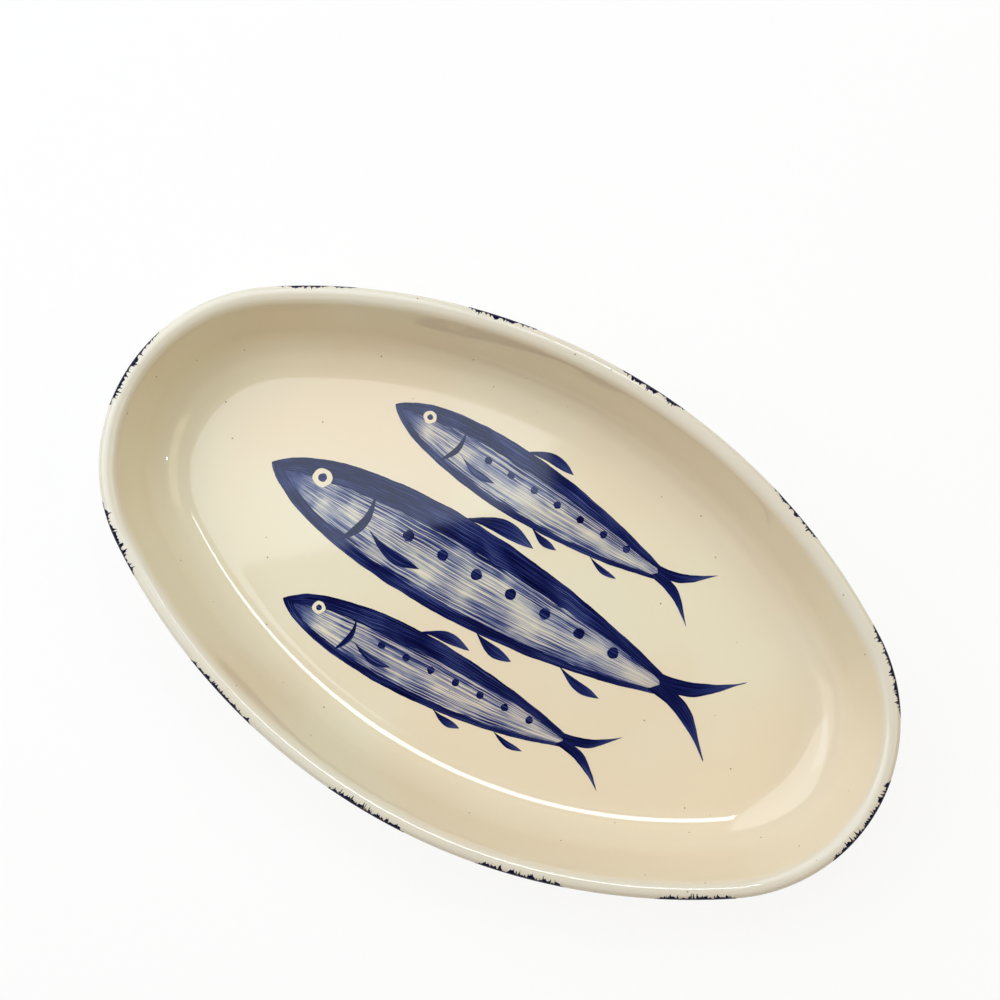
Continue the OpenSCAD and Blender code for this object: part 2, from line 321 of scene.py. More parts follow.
def rim_at(distance):
    """The rim's outermost point and its outward direction, at a distance along the rim."""
    distance %= rim_length
    facing = 0.0
    for centre, radius, turn in rim_arcs:
        if distance <= radius * turn:
            facing += distance / radius
            break
        distance -= radius * turn
        facing += turn
    outward = Vector((math.cos(facing), math.sin(facing), 0.0))
    return centre + outward * radius, outward


print("side radius", round(side_radius, 4), "m, rim", round(rim_length, 3), "m round")

# %% [markdown]
# ## The section of the wall
# From the floor the section runs up a hollow, a straight wall and a roll to the crest of the lip, then
# round the lip, through the hollow under it, down the outer wall and under to the foot. A point that
# is spun draws an arc, and a point that is extruded draws a straight line, so the whole section is
# drawn with those two operators, in an upright plane at the +X end.

# %% Section of the wall
WALL_SLOPE = math.radians(70)
WALL_THICKNESS = 0.0065
FLOOR_THICKNESS = 0.007
FLOOR_FILLET = 0.024
BASE_ROUND = 0.020
LIP_RADIUS = 0.0032
LIP_ROLL = 0.006
UNDER_LIP_FILLET = 0.006
FOOT_HEIGHT = 0.004
FOOT_SETBACK = 0.008
ARC_STEP = 0.0009
WALL_CUTS = 12
FOOT_CUTS = 3

floor_top = FOOT_HEIGHT + FLOOR_THICKNESS
up_wall = Vector((math.cos(WALL_SLOPE), 0, math.sin(WALL_SLOPE)))
out_of_wall = Vector((math.sin(WALL_SLOPE), 0, -math.cos(WALL_SLOPE)))
roll_rise = LIP_ROLL * (1 - math.cos(WALL_SLOPE))
wall_run = (LIP_RADIUS + LIP_ROLL * math.sin(WALL_SLOPE)
            + (height - floor_top - roll_rise) / math.tan(WALL_SLOPE))
floor_edge = wall_run + FLOOR_FILLET * math.tan(WALL_SLOPE / 2)
wall_start = Vector((half_length - wall_run, 0, floor_top))
fillet_centre = Vector((half_length - floor_edge, 0, floor_top + FLOOR_FILLET))
roll_centre = Vector((half_length - LIP_RADIUS, 0, height - LIP_ROLL))
lip_centre = Vector((half_length - LIP_RADIUS, 0, height - LIP_RADIUS))

under_out = WALL_THICKNESS + UNDER_LIP_FILLET
lip_out = (lip_centre - wall_start).dot(out_of_wall)
lip_up = (lip_centre - wall_start).dot(up_wall)
under_up = lip_up - math.sqrt((LIP_RADIUS + UNDER_LIP_FILLET) ** 2 - (under_out - lip_out) ** 2)
under_centre = wall_start + up_wall * under_up + out_of_wall * under_out
under_angle = math.atan2((under_centre - lip_centre).z, (under_centre - lip_centre).x)

base_out = WALL_THICKNESS - BASE_ROUND
base_rise = FOOT_HEIGHT + BASE_ROUND - floor_top
base_up = (base_rise + base_out * math.cos(WALL_SLOPE)) / math.sin(WALL_SLOPE)
base_centre = wall_start + up_wall * base_up + out_of_wall * base_out


def draw_arc(bm, point, centre, turn):
    """Spins a point about an upright centre and gives back the arc's last point."""
    steps = max(4, round(abs(turn) * (point.co - centre).length / ARC_STEP))
    drawn = bmesh.ops.spin(bm, geom=[point], cent=centre, axis=(0, -1, 0), angle=turn, steps=steps)
    return next(item for item in drawn["geom_last"] if isinstance(item, bmesh.types.BMVert))


def draw_line(bm, point, goal, cuts=0):
    """Extrudes a point to a goal, in one step more than it has cuts."""
    start = point.co.copy()
    for step in range(1, cuts + 2):
        point = bmesh.ops.extrude_vert_indiv(bm, verts=[point])["verts"][0]
        point.co = start.lerp(goal, step / (cuts + 1))
    return point


def draw_section(bm):
    """The glazed section, from the edge of the floor round the lip to the foot ring."""
    quarter = math.pi / 2
    point = bm.verts.new((half_length - floor_edge, 0, floor_top))
    point = draw_arc(bm, point, fillet_centre, WALL_SLOPE)
    roll_start = roll_centre + Vector((-math.sin(WALL_SLOPE), 0, math.cos(WALL_SLOPE))) * LIP_ROLL
    point = draw_line(bm, point, roll_start, WALL_CUTS)
    point = draw_arc(bm, point, roll_centre, -WALL_SLOPE)
    point = draw_arc(bm, point, lip_centre, under_angle - quarter)
    point = draw_arc(bm, point, under_centre, WALL_SLOPE - under_angle - quarter)
    point = draw_line(bm, point, base_centre + out_of_wall * BASE_ROUND, WALL_CUTS)
    point = draw_arc(bm, point, base_centre, -WALL_SLOPE)
    draw_line(bm, point, Vector((base_centre.x - FOOT_SETBACK, 0, FOOT_HEIGHT)), FOOT_CUTS)


print("floor edge", round(floor_edge * 1000, 1), "mm in from the rim")

# %% [markdown]
# ## The glaze coat
# The section is spun on round the four arcs of the rim, one after the other, which closes the ring.
# The hole that is left in the middle is the floor, and one face fills it. A dish like this is pressed
# and finished by hand, so its rim strays by a few tenths of a millimetre: a function gives that drift,
# and everything that lies on the wall follows it. A Solidify modifier gives the coat its thickness.

# %% Glaze coat
GLAZE_THICKNESS = 0.0005
RIM_STEP = 0.004
FLOOR_BORDER = 0.004
SEAM_GAP = 0.00002
# The drift of the rim: how many waves it makes round the rim, how far they go and where they start
RIM_SWELLS = [(3, 0.00022, 0.6), (5, 0.00014, 2.1)]
RIM_LIFT = 0.00016


def by_hand(place):
    """A point of the wall or lip, moved by the small drift of a hand-finished rim."""
    around = math.atan2(place.y / half_width, place.x / half_length)
    share = (max(place.z - floor_top, 0.0) / (height - floor_top)) ** 2
    outward = Vector((place.x, place.y, 0.0)).normalized()
    swell = sum(reach * math.sin(waves * around + start) for waves, reach, start in RIM_SWELLS)
    lift = RIM_LIFT * math.sin(2 * around + 1.3) - RIM_LIFT
    return place + (outward * swell + Vector((0.0, 0.0, lift))) * share


def finish_piece(bm, name, material, slot, *nodes, thickness, smooth=True):
    """Makes a piece of a bmesh, with its material, its thickness and its place in the frame."""
    for face in bm.faces:
        face.smooth = smooth
    for edge in bm.edges:
        edge.smooth = not edge.is_boundary
    mesh = bpy.data.meshes.new(name)
    bm.to_mesh(mesh)
    bm.free()
    mesh.materials.append(material)
    piece = bpy.data.objects.new(name, mesh)
    bpy.context.scene.collection.objects.link(piece)
    coat = piece.modifiers.new("coat", "SOLIDIFY")
    coat.thickness = thickness
    coat.offset = -1.0
    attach(piece, "root")
    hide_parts(*nodes)
    print(name, len(mesh.polygons), "faces")


bm = bmesh.new()
draw_section(bm)
line = bm.verts[:] + bm.edges[:]
for centre, radius, turn in rim_arcs:
    steps = round(radius * turn / RIM_STEP)
    swept = bmesh.ops.spin(bm, geom=line, cent=centre, axis=(0, 0, 1), angle=turn, steps=steps)
    line = swept["geom_last"]
bmesh.ops.remove_doubles(bm, verts=bm.verts[:], dist=SEAM_GAP)

floor_loop = [edge for edge in bm.edges
              if edge.is_boundary and edge.verts[0].co.z > (FOOT_HEIGHT + floor_top) / 2]
floor_face = bmesh.ops.edgeloop_fill(bm, edges=floor_loop)["faces"]
bmesh.ops.inset_region(bm, faces=floor_face, thickness=FLOOR_BORDER, use_even_offset=True)
for vert in bm.verts:
    vert.co = by_hand(vert.co)
bmesh.ops.recalc_face_normals(bm, faces=bm.faces[:])
if max(bm.faces, key=lambda face: face.calc_area()).normal.z < 0:
    bmesh.ops.reverse_faces(bm, faces=bm.faces[:])
finish_piece(bm, "glaze_coat", cream_glaze, "cream_glaze", "inside_glaze", "outside_glaze",
             thickness=GLAZE_THICKNESS)

# %% [markdown]
# ## Cobalt over cream
# Cobalt oxide melts into the glaze, so the paint has no body of its own: it is a blue stain that the
# cream shines through. One full coat lets almost no red and green through and some blue, two coats let
# through the square of that, and half a coat the square root. So one number, the coats of paint, gives
# every tone from a pale wash to blue-black, as a power of what one coat lets through. Bristles lay it
# in long streaks: they come from noise on a map in millimetres along and across each stroke.

# %% Cobalt over cream
ONE_COAT = (0.0015, 0.004, 0.086)
STREAK_ALONG = 0.03
STREAK_ACROSS = 1.5


def cobalt_over_cream(tree, coats):
    """The cream as it shows through some coats of cobalt."""
    red, green, blue = (calc(tree, "POWER", share, coats) for share in ONE_COAT)
    stain = add(tree, "ShaderNodeCombineColor", {"Red": red, "Green": green, "Blue": blue})
    tint = add(tree, "ShaderNodeMix", {0: 1.0, 6: cream_colour(tree), 7: stain.outputs[0]},
               data_type="RGBA", blend_type="MULTIPLY")
    return tint.outputs[2]


def stroke_place(tree):
    """How far along a stroke and how far across it, both from 0 to 1."""
    place = add(tree, "ShaderNodeUVMap", uv_map="stroke").outputs[0]
    parts = add(tree, "ShaderNodeSeparateXYZ", {0: place})
    return parts.outputs["X"], parts.outputs["Y"]


def streaks(tree, fineness=1.0, shift=0.0):
    """Bristle streaks from 0 to 1, long along the stroke and thin across it."""
    grain = add(tree, "ShaderNodeUVMap", uv_map="grain").outputs[0]
    stretch = (STREAK_ALONG * fineness, STREAK_ACROSS * fineness, 1.0)
    return mottle(tree, grain, 1.0, 2.0, stretch, shift)


def pools(tree, size, shift=0.0):
    """Soft patches from 0 to 1, where the paint pooled or was dabbed off, of a size in millimetres."""
    grain = add(tree, "ShaderNodeUVMap", uv_map="grain").outputs[0]
    return mottle(tree, grain, 1.0 / size, 2.0, shift=shift)


def paint_material(name, coats_of, roughness=GLAZE_ROUGHNESS, shine=0.5):
    material, tree, gloss = new_material(name)
    tree.links.new(cobalt_over_cream(tree, coats_of(tree)), gloss.inputs["Base Color"])
    tree.links.new(glaze_waves(tree), gloss.inputs["Normal"])
    gloss.inputs["Roughness"].default_value = roughness
    gloss.inputs["Specular IOR Level"].default_value = shine
    gloss.inputs["IOR"].default_value = GLAZE_IOR
    print(name, len(tree.nodes), "nodes")
    return material


# %% [markdown]
# ## Four ways of loading the brush
# The flank is a nearly dry wash that thins out towards the belly, with bare cream between the bristles.
# The back is a full brush, dark with a few lighter streaks. Fins start wet and end thin. The dabs on
# the rim are thick in the middle, where the brush was pressed, and thinner where it was lifted.

# %% Brush loads
RIM_ROUGHNESS, RIM_SHINE = 0.4, 0.1


def flank_coats(tree):
    """A streaky wash, thicker towards the back, the belly and the head."""
    along, across = stroke_place(tree)
    back_side = fade(tree, across, 0.4, 0.9, 0.16, 0.62)
    belly_side = fade(tree, across, 0.34, 0.05, 0.16, 0.5)
    wash = calc(tree, "MAXIMUM", back_side, belly_side)
    wet = fade(tree, streaks(tree), 0.38, 0.62, 0.15, 1.35)
    fine = fade(tree, streaks(tree, 1.7, 7.0), 0.35, 0.65, 0.7, 1.3)
    pooled = fade(tree, pools(tree, 16.0), 0.3, 0.7, 0.45, 1.7)
    coats = calc(tree, "MULTIPLY", wash, wet)
    coats = calc(tree, "MULTIPLY", coats, calc(tree, "MULTIPLY", fine, pooled))
    head = fade(tree, along, 0.26, 0.08, 0.0, 0.45)
    return calc(tree, "ADD", coats, head)


def back_coats(tree):
    """A full brush, with a few lighter streaks and patches."""
    streaky = fade(tree, streaks(tree), 0.33, 0.6, 0.5, 1.1)
    return calc(tree, "MULTIPLY", streaky, fade(tree, pools(tree, 22.0), 0.3, 0.7, 0.7, 1.15))


def fin_coats(tree):
    """A full brush at the root of the fin, and a thin one at its tip."""
    along = stroke_place(tree)[0]
    load = fade(tree, along, 0.2, 1.0, 1.0, 0.55)
    return calc(tree, "MULTIPLY", load, fade(tree, streaks(tree, 1.3), 0.3, 0.7, 0.6, 1.2))


def rim_coats(tree):
    """A full brush in the middle of the dab, and a thinner one at both its edges."""
    across = stroke_place(tree)[1]
    load = fade(tree, across, 0.6, 1.0, 1.6, 1.0)
    load = calc(tree, "MULTIPLY", load, fade(tree, across, 0.0, 0.25, 0.4, 1.0))
    return calc(tree, "MULTIPLY", load, fade(tree, streaks(tree, 0.8), 0.3, 0.6, 0.85, 1.1))


cobalt_wash = paint_material("cobalt_wash", flank_coats)
cobalt_dark = paint_material("cobalt_dark", back_coats)
cobalt_fins = paint_material("cobalt_fins", fin_coats)
cobalt_rim = paint_material("cobalt_rim", rim_coats, RIM_ROUGHNESS, RIM_SHINE)

# %% [markdown]
# ## A brush stroke
# A stroke is the space between two lines of points that run the same way. A grid from create_grid is
# laid between them, column by column, and its own map of 0 to 1 stays with it as the stroke's map. A
# second map repeats it in millimetres, moved to a patch of its own, so that no two strokes share the
# same streaks. The edge lines are first made a little ragged, because a brush never leaves a clean one.

# %% Brush stroke
PAINT_THICKNESS = 0.0002
PAINT_STEP = 0.00003
POINT_GAP = 1e-6
MILLIMETRES = 1000
GRAIN_PATCH = 300.0
RAGGED_WAVE = 0.011


def new_paint():
    bm = bmesh.new()
    bm.loops.layers.uv.new("stroke")
    bm.loops.layers.uv.new("grain")
    return bm


def line_length(line):
    return sum((after - before).length for before, after in zip(line, line[1:]))


def ragged(line, amount, seed):
    """The line with its points moved aside by a little noise, except at its two ends."""
    moved = [line[0]]
    for before, point, after in zip(line, line[1:], line[2:]):
        run = (after - before).normalized()
        aside = Vector((-run.y, run.x, 0.0))
        drift = noise.fractal(point / RAGGED_WAVE + Vector((0, 0, seed)), 1.0, 2.3, 4)
        moved.append(point + aside * amount * drift)
    return moved + [line[-1]]


def lay_grid(bm, columns, rows, place, reach, spread, seed):
    """A grid whose points go where place(column, share across) says, with both of its maps."""
    made = bmesh.ops.create_grid(bm, x_segments=columns, y_segments=rows, size=0.5, calc_uvs=True)
    for vert in made["verts"]:
        vert.co = place(round((vert.co.x + 0.5) * columns), vert.co.y + 0.5)
    stroke, grain = bm.loops.layers.uv["stroke"], bm.loops.layers.uv["grain"]
    for face in {face for vert in made["verts"] for face in vert.link_faces}:
        for loop in face.loops:
            along, across = loop[stroke].uv
            loop[grain].uv = (along * reach * MILLIMETRES + seed * GRAIN_PATCH,
                              across * spread * MILLIMETRES)
    return made["verts"]


def lay_stroke(bm, lower, upper, rows, seed):
    """A flat stroke between two lines that have as many points each."""
    def between(column, share):
        return lower[column].lerp(upper[column], share)

    spread = max((high - low).length for low, high in zip(lower, upper))
    return lay_grid(bm, len(lower) - 1, rows, between, line_length(upper), spread, seed)


print("paint is", PAINT_THICKNESS * MILLIMETRES, "mm thick")

# %% [markdown]
# ## The lines of a fish
# Three plain sardines lie side by side on the flat of the floor, a long one between two shorter ones.
# Each line of a fish is one cubic curve from its snout to the root of its tail, in shares of the fish's
# length and depth, so that all three sizes come from the same few points.

# %% Fish lines
FISH_END_MARGIN = 0.035
FISH_SIDE_MARGIN = 0.013
FISH_GAP = 0.010
FISH_TILT = math.radians(3)
OUTER_LENGTH_SHARE = 0.7
OUTER_DEPTH_SHARE = 0.67

fish_length = 2 * (half_length - floor_edge - FISH_END_MARGIN)
fish_room = 2 * (half_width - floor_edge - FISH_SIDE_MARGIN - FISH_GAP)
fish_depth = fish_room / (1 + 2 * OUTER_DEPTH_SHARE)
fish_pitch = fish_depth * (1 + OUTER_DEPTH_SHARE) / 2 + FISH_GAP
fish_rows = {"upper": 1, "middle": 0, "lower": -1}

BACK_SHARES = [(0, 0), (0.09, 0.58), (0.46, 0.7), (0.86, 0.1)]
BACK_EDGE_SHARES = [(0.03, 0), (0.16, 0.26), (0.5, 0.34), (0.86, 0.03)]
BELLY_EDGE_SHARES = [(0.03, 0), (0.11, -0.4), (0.52, -0.6), (0.86, -0.05)]
BELLY_SHARES = [(0, 0), (0.07, -0.52), (0.5, -0.76), (0.86, -0.1)]
TAIL_EDGE_SHARES = [(0.84, 0.1), (0.9, 0.12), (0.95, 0.26), (1, 0.46)]
TAIL_FORK_SHARES = [(0.86, -0.02), (0.93, -0.01), (0.94, 0.1), (1, 0.46)]


def fish_size(row):
    if row == 0:
        return Vector((fish_length, fish_depth))
    return Vector((fish_length * OUTER_LENGTH_SHARE, fish_depth * OUTER_DEPTH_SHARE))


def fish_point(share, size):
    return Vector(((share[0] - 0.5) * size.x, share[1] * size.y, 0.0))


def fish_line(shares, size, steps):
    """Evenly stepped points of a cubic curve through its four control points."""
    start, first, second, end = (fish_point(share, size) for share in shares)
    return geometry.interpolate_bezier(start, first, second, end, steps + 1)


def fish_dab(dab, size, steps):
    """The two edges of a dab, which swells from a point at its start and rounds off at its end."""
    start, end = fish_point(dab[0], size), fish_point(dab[1], size)
    run = end - start
    aside = Vector((-run.y, run.x, 0.0)).normalized()
    lower, upper = [], []
    for step in range(steps + 1):
        share = step / steps
        middle = start + run * share + aside * run.length * dab[3] * math.sin(math.pi * share)
        swell = aside * dab[2] * size.y / 2 * math.sin(math.pi * share**1.4)
        lower.append(middle - swell)
        upper.append(middle + swell)
    return lower, upper


def mirrored_shares(shares):
    return [(along, -across) for along, across in shares]


def lay_on_floor(bm, verts, row, layer):
    """Moves flat paint to its row's place on the floor, a hair above the layer under it."""
    bmesh.ops.rotate(bm, verts=verts, cent=(0, 0, 0), matrix=Matrix.Rotation(-row * FISH_TILT, 3, "Z"))
    rise = floor_top + layer * PAINT_STEP
    bmesh.ops.translate(bm, verts=verts, vec=(0, row * fish_pitch, rise))


print("middle fish", round(fish_length * 1000), "x", round(fish_depth * 1000), "mm")

# %% [markdown]
# ## Flanks
# The wash covers the whole outline, and the darker strokes go over it, as a painter would do it.

# %% Flanks
LINE_STEPS = 150
OUTLINE_RAGGED = 0.0004
BELLY_SEED, BACK_SEED = 11, 21
WASH_ROWS = 24
WASH_LAYER = 1


def fish_outline(row):
    """The ragged belly and back lines of a fish, which the wash and the dark strokes share."""
    size = fish_size(row)
    belly = ragged(fish_line(BELLY_SHARES, size, LINE_STEPS), OUTLINE_RAGGED, BELLY_SEED + row)
    back = ragged(fish_line(BACK_SHARES, size, LINE_STEPS), OUTLINE_RAGGED, BACK_SEED + row)
    return belly, back


for side, row in fish_rows.items():
    bm = new_paint()
    belly, back = fish_outline(row)
    wash = lay_stroke(bm, belly, back, WASH_ROWS, 3 * row + 4)
    lay_on_floor(bm, wash, row, WASH_LAYER)
    bmesh.ops.remove_doubles(bm, verts=bm.verts[:], dist=POINT_GAP)
    finish_piece(bm, f"{side}_flank_wash", cobalt_wash, "cobalt_wash", f"{side}_fish_flank",
                 thickness=PAINT_THICKNESS, smooth=False)

# %% [markdown]
# ## Backs, belly lines, gills and spots
# These are full-strength strokes: a broad one along the back, a narrow one under the belly, a curved
# one behind the gill, a dab for the pectoral fin, and a row of spots. The pupil belongs to them too.

# %% Dark strokes
# Each touch: where it starts and ends, how broad it is and how far it bows to one side
GILL = ((0.2, 0.32), (0.185, -0.37), 0.09, 0.16)
PECTORAL = ((0.225, -0.1), (0.35, -0.2), 0.12, -0.1)
EYE_PLACE = (0.1, 0.12)
PUPIL_RADIUS_SHARE = 0.045
SPOT_COUNT = 7
SPOT_FIRST, SPOT_LAST, SPOT_HEIGHT = 0.3, 0.75, 0.04
SPOT_RADIUS_SHARE = 0.058
SPOT_SIDES = 32
SPOT_WOBBLE = 0.16
BACK_RAGGED, BELLY_RAGGED, TOUCH_RAGGED = 0.001, 0.0007, 0.0003
BACK_ROWS, BELLY_ROWS, TOUCH_ROWS = 10, 6, 6
TOUCH_STEPS = 60
STROKE_LAYER, TOUCH_LAYER, PUPIL_LAYER = 2, 3, 5


def lay_spot(bm, centre, radius, seed):
    """A round touch of the brush, not quite round."""
    made = bmesh.ops.create_circle(bm, cap_ends=True, segments=SPOT_SIDES, radius=radius,
                                   calc_uvs=True)
    grain = bm.loops.layers.uv["grain"]
    for vert in made["verts"]:
        wobble = noise.noise(vert.co / radius * 1.3 + Vector((0, 0, seed * 3.7)))
        vert.co = vert.co * (1 + SPOT_WOBBLE * wobble) + centre
    for face in made["verts"][0].link_faces:
        for loop in face.loops:
            loop[grain].uv = (loop.vert.co.x * MILLIMETRES + seed * GRAIN_PATCH,
                              loop.vert.co.y * MILLIMETRES)
    return made["verts"]


for side, row in fish_rows.items():
    size = fish_size(row)
    seed = 10 * row + 30
    bm = new_paint()
    belly, back = fish_outline(row)
    back_edge = ragged(fish_line(BACK_EDGE_SHARES, size, LINE_STEPS), BACK_RAGGED, seed)
    belly_edge = ragged(fish_line(BELLY_EDGE_SHARES, size, LINE_STEPS), BELLY_RAGGED, seed + 1)
    broad = lay_stroke(bm, back_edge, back, BACK_ROWS, seed)
    broad += lay_stroke(bm, belly, belly_edge, BELLY_ROWS, seed + 1)
    lay_on_floor(bm, broad, row, STROKE_LAYER)

    touches = []
    for number, dab in enumerate((GILL, PECTORAL)):
        lower, upper = fish_dab(dab, size, TOUCH_STEPS)
        lower = ragged(lower, TOUCH_RAGGED, seed + 2)
        upper = ragged(upper, TOUCH_RAGGED, seed + 3)
        touches += lay_stroke(bm, lower, upper, TOUCH_ROWS, seed + 2 + number)
    for spot in range(SPOT_COUNT):
        along = SPOT_FIRST + (SPOT_LAST - SPOT_FIRST) * spot / (SPOT_COUNT - 1)
        centre = fish_point((along, SPOT_HEIGHT), size)
        touches += lay_spot(bm, centre, SPOT_RADIUS_SHARE * size.y, seed + spot)
    lay_on_floor(bm, touches, row, TOUCH_LAYER)
    pupil = lay_spot(bm, fish_point(EYE_PLACE, size), PUPIL_RADIUS_SHARE * size.y, seed + 9)
    lay_on_floor(bm, pupil, row, PUPIL_LAYER)
    bmesh.ops.remove_doubles(bm, verts=bm.verts[:], dist=POINT_GAP)
    finish_piece(bm, f"{side}_back_strokes", cobalt_dark, "cobalt_dark", f"{side}_fish_back",
                 thickness=PAINT_THICKNESS, smooth=False)

# %% [markdown]
# ## Eyes
# The white of an eye is bare glaze: the painter leaves a round spot free. Here it lies as a thin round
# of the same glaze over the wash, under the pupil.

# %% Eyes
EYE_RADIUS_SHARE = 0.1
EYE_LAYER = 4

for side, row in fish_rows.items():
    size = fish_size(row)
    bm = new_paint()
    white = lay_spot(bm, fish_point(EYE_PLACE, size), EYE_RADIUS_SHARE * size.y, row + 60)
    lay_on_floor(bm, white, row, EYE_LAYER)
    finish_piece(bm, f"{side}_eye", cream_glaze, "cream_glaze", thickness=PAINT_THICKNESS, smooth=False)

# %% [markdown]
# ## Fins and tails
# Each fin is one dab, pressed at its start and lifted at its end, and each tail is two strokes that
# start together at the root and part at the fork.

# %% Fins and tails
FINS = [
    ((0.37, 0.46), (0.52, 0.56), 0.17, 0.1),
    ((0.5, -0.46), (0.59, -0.55), 0.12, -0.08),
    ((0.67, -0.34), (0.77, -0.43), 0.1, -0.08),
]
TAIL_RAGGED = 0.0004
FIN_ROWS, TAIL_ROWS = 8, 10
FIN_LAYER, LOBE_LAYER = 3, 4

for side, row in fish_rows.items():
    size = fish_size(row)
    seed = 10 * row + 70
    bm = new_paint()
    strokes = []
    for number, fin in enumerate(FINS):
        lower, upper = fish_dab(fin, size, TOUCH_STEPS)
        lower = ragged(lower, TOUCH_RAGGED, seed)
        upper = ragged(upper, TOUCH_RAGGED, seed + 1)
        strokes += lay_stroke(bm, lower, upper, FIN_ROWS, seed + number)

    edge = fish_line(TAIL_EDGE_SHARES, size, TOUCH_STEPS)
    fork = fish_line(TAIL_FORK_SHARES, size, TOUCH_STEPS)
    edge, fork = ragged(edge, TAIL_RAGGED, seed), ragged(fork, TAIL_RAGGED, seed + 1)
    strokes += lay_stroke(bm, fork, edge, TAIL_ROWS, seed + 4)
    lay_on_floor(bm, strokes, row, FIN_LAYER)

    edge = fish_line(mirrored_shares(TAIL_EDGE_SHARES), size, TOUCH_STEPS)
    fork = fish_line(mirrored_shares(TAIL_FORK_SHARES), size, TOUCH_STEPS)
    edge, fork = ragged(edge, TAIL_RAGGED, seed + 2), ragged(fork, TAIL_RAGGED, seed + 3)
    lower_lobe = lay_stroke(bm, edge, fork, TAIL_ROWS, seed + 5)
    lay_on_floor(bm, lower_lobe, row, LOBE_LAYER)
    bmesh.ops.remove_doubles(bm, verts=bm.verts[:], dist=POINT_GAP)
    finish_piece(bm, f"{side}_fin_dabs", cobalt_fins, "cobalt_fins", f"{side}_fish_fins",
                 thickness=PAINT_THICKNESS, smooth=False)

# %% [markdown]
# ## Dabs on the rim
# A dry, flat brush was touched against the outside of the lip, a dozen times round the rim. Its paint
# lies in clots on the outside, and towards the crest it breaks up into the points of single bristles.
# A grid is laid round the lip for each dab: its columns stand side by side along the rim, and each one
# starts and ends at its own height.

# %% Edges of a dab
# How far the paint goes below and above the outermost line of the lip, as angles round the lip
DAB_BOTTOM, DAB_SOLID, DAB_TOP = -44, 54, 96
DAB_COLUMN = 0.00026
DAB_TAPER = 0.004
# The load of the brush, and how far down its heel reached: a mean, and layers of noise, each with its
# strength, its fineness and a number of its own
LOAD_MEAN, LOAD_NOISE = 0.95, [(0.65, 320, 0), (0.35, 900, 0)]
HEEL_MEAN, HEEL_NOISE = 0.9, [(0.4, 500, 5), (0.35, 1600, 9)]
# The heel never reached past the lower edge of the lip
HEEL_MOST = 1.25
# Gives each dab a stretch of the noise of its own
DAB_SHIFT = 3.1
BRISTLE_GAP = 0.0012
TIP_WIDTHS, TIP_STRENGTHS = (0.0004, 0.0009), (0.7, 1.0)
TIP_SHAPE = 1.6


def uneven(mean, layers, along, number):
    """A mean with layers of noise along a dab, which are different for each dab."""
    for strength, fineness, layer in layers:
        mean += strength * noise.noise((along * fineness, number * DAB_SHIFT, layer))
    return mean


def dab_edges(number, reach, press, hand):
    """The lower and the upper end of each column of a dab, as angles round the lip."""
    bristles = [(hand.uniform(0, reach), hand.uniform(*TIP_WIDTHS), hand.uniform(*TIP_STRENGTHS))
                for _ in range(round(reach / BRISTLE_GAP))]
    columns = round(reach / DAB_COLUMN)
    bottoms, tops = [], []
    for column in range(columns + 1):
        along = reach * column / columns
        ends = min(1.0, along / DAB_TAPER, (reach - along) / DAB_TAPER)
        load = uneven(LOAD_MEAN, LOAD_NOISE, along, number)
        top = DAB_SOLID * load
        for place, half_width_of_tip, strength in bristles:
            tip = 1 - (abs(along - place) / half_width_of_tip) ** TIP_SHAPE
            top = max(top, DAB_TOP * min(load, 1.0) * strength * tip)
        top *= press
        heel = min(uneven(HEEL_MEAN, HEEL_NOISE, along, number), HEEL_MOST)
        bottoms.append(DAB_BOTTOM * ends**0.5 * heel)
        tops.append(max(top * (0.4 + 0.6 * ends), bottoms[-1] + 1))
    return bottoms, tops


print("a dab has a column every", DAB_COLUMN * MILLIMETRES, "mm")

# %% Rim dabs
# Each dab: its place as a share of the rim, its length, and how hard the brush was pressed
DABS = [
    (-0.009, 0.046, 1.2), (0.064, 0.045, 1.05), (0.146, 0.033, 0.9), (0.233, 0.034, 1.05),
    (0.31, 0.034, 1.0), (0.397, 0.037, 0.9), (0.495, 0.042, 1.15), (0.579, 0.038, 1.1),
    (0.664, 0.042, 0.9), (0.748, 0.04, 1.15), (0.823, 0.042, 1.1), (0.903, 0.037, 1.05),
]
DAB_ROWS = 18
DAB_SPREAD = 0.008
DAB_SEED = 100


def on_lip(distance, angle, lift):
    """A point on the lip, by its distance along the rim and its angle up from the outermost line."""
    edge, outward = rim_at(distance)
    radius, turn = LIP_RADIUS, math.radians(angle)
    if angle > 90:
        radius = LIP_ROLL
        turn = math.pi / 2 + (turn - math.pi / 2) * LIP_RADIUS / LIP_ROLL
    place = edge + outward * ((radius + lift) * math.cos(turn) - LIP_RADIUS)
    place.z = height - radius + (radius + lift) * math.sin(turn)
    return by_hand(place)


def lay_dab(bm, number, middle, reach, bottoms, tops):
    """Lays a dab round the lip, with its middle at a distance along the rim."""
    columns = len(tops) - 1

    def on_dab(column, across):
        distance = middle + reach * (column / columns - 0.5)
        angle = bottoms[column] + (tops[column] - bottoms[column]) * across
        return on_lip(distance, angle, PAINT_STEP)

    lay_grid(bm, columns, DAB_ROWS, on_dab, reach, DAB_SPREAD, number + DAB_SEED)


bm = new_paint()
hand = random.Random(5)
for number, (share, reach, press) in enumerate(DABS):
    bottoms, tops = dab_edges(number, reach, press, hand)
    lay_dab(bm, number, rim_length * share, reach, bottoms, tops)
bmesh.ops.recalc_face_normals(bm, faces=bm.faces[:])
finish_piece(bm, "rim_dabs", cobalt_rim, "cobalt_rim", "rim_brush_marks", thickness=PAINT_THICKNESS)

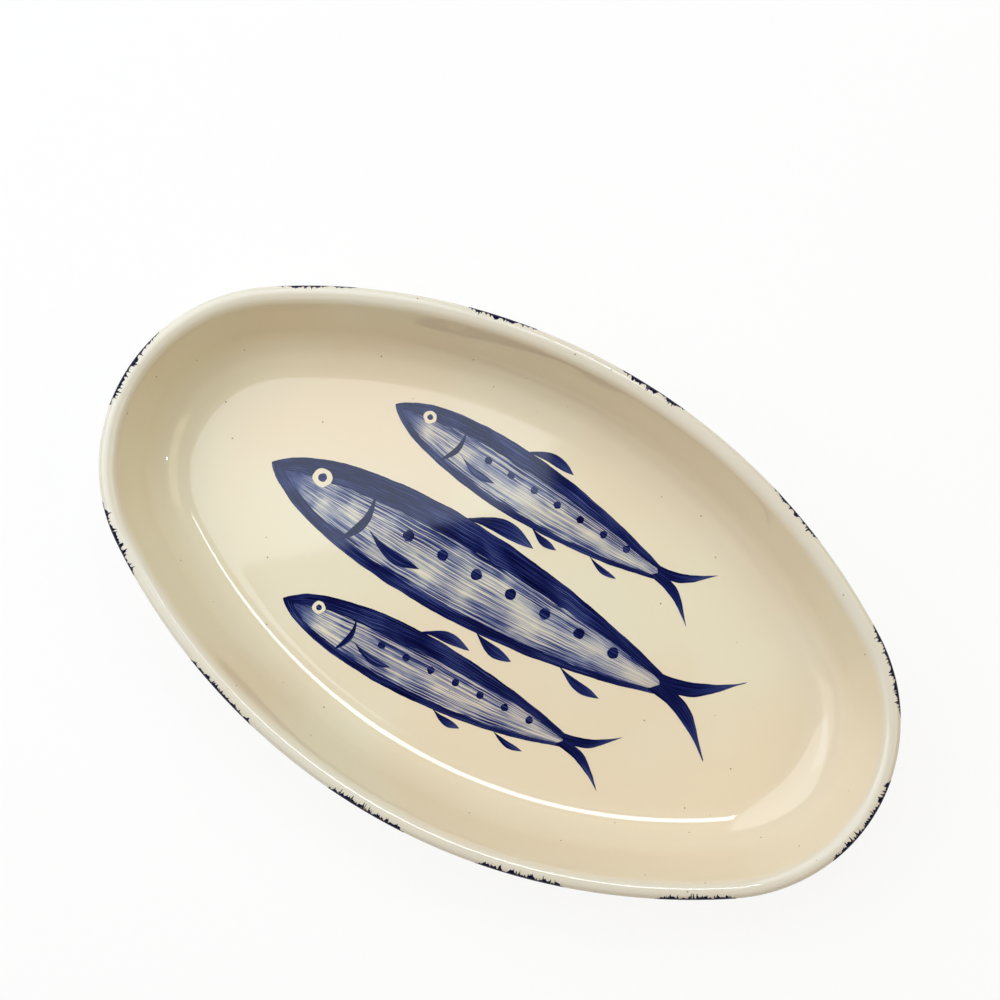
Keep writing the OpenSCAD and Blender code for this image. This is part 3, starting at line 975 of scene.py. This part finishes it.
# %% [markdown]
# ## Floor and backdrop
# The platter lies on a plain white sheet. The sheet shows as white to the camera and in reflections,
# by a Light Path switch in its material, and still takes the platter's soft shadow, because a small
# share of what the camera sees there is a plain matt white that the lamps have to light. A view from
# the side looks past the edge of the sheet, so the world gets the same switch: it shows white to the
# camera, and to reflections as far up as a low backdrop would stand.

# %% Floor
SHEET_HALF = 3.0
SHEET_WHITE = (0.93, 0.93, 0.93, 1.0)
SHADOW_SHARE = 0.12

white_sheet, tree, matt = new_material("white_sheet")
matt.inputs["Base Color"].default_value = SHEET_WHITE
matt.inputs["Roughness"].default_value = 1.0
matt.inputs["Specular IOR Level"].default_value = 0.0
white = add(tree, "ShaderNodeEmission", {"Color": (*WHITE, 1.0), "Strength": 1.0})
ray = add(tree, "ShaderNodeLightPath")
seen = calc(tree, "MAXIMUM", ray.outputs["Is Camera Ray"], ray.outputs["Is Glossy Ray"])
seen = calc(tree, "MAXIMUM", seen, ray.outputs["Is Transmission Ray"])
share = calc(tree, "MULTIPLY", seen, 1.0 - SHADOW_SHARE)
cover = add(tree, "ShaderNodeMixShader", {0: share, 1: matt.outputs[0], 2: white.outputs[0]})
tree.links.new(cover.outputs[0], tree.nodes["Material Output"].inputs["Surface"])

bm = bmesh.new()
bmesh.ops.create_grid(bm, x_segments=1, y_segments=1, size=SHEET_HALF)
sheet_mesh = bpy.data.meshes.new("white_sheet")
bm.to_mesh(sheet_mesh)
bm.free()
sheet_mesh.materials.append(white_sheet)
sheet = bpy.data.objects.new("white_sheet", sheet_mesh)
bpy.context.scene.collection.objects.link(sheet)
print("sheet", 2 * SHEET_HALF, "m wide")

# %% Backdrop
BACKDROP_TOP = 0.1

ray = add(sky, "ShaderNodeLightPath")
mirrored = calc(sky, "MAXIMUM", ray.outputs["Is Glossy Ray"], ray.outputs["Is Transmission Ray"])
low_down = calc(sky, "LESS_THAN", upward.outputs["Z"], BACKDROP_TOP)
seen = calc(sky, "MAXIMUM", ray.outputs["Is Camera Ray"], calc(sky, "MULTIPLY", mirrored, low_down))
backdrop = mixed(sky, seen, bands.outputs["Color"], (*WHITE, 1.0))
sky.links.new(backdrop, sky.nodes["Background"].inputs["Color"])
print("backdrop white from the side")
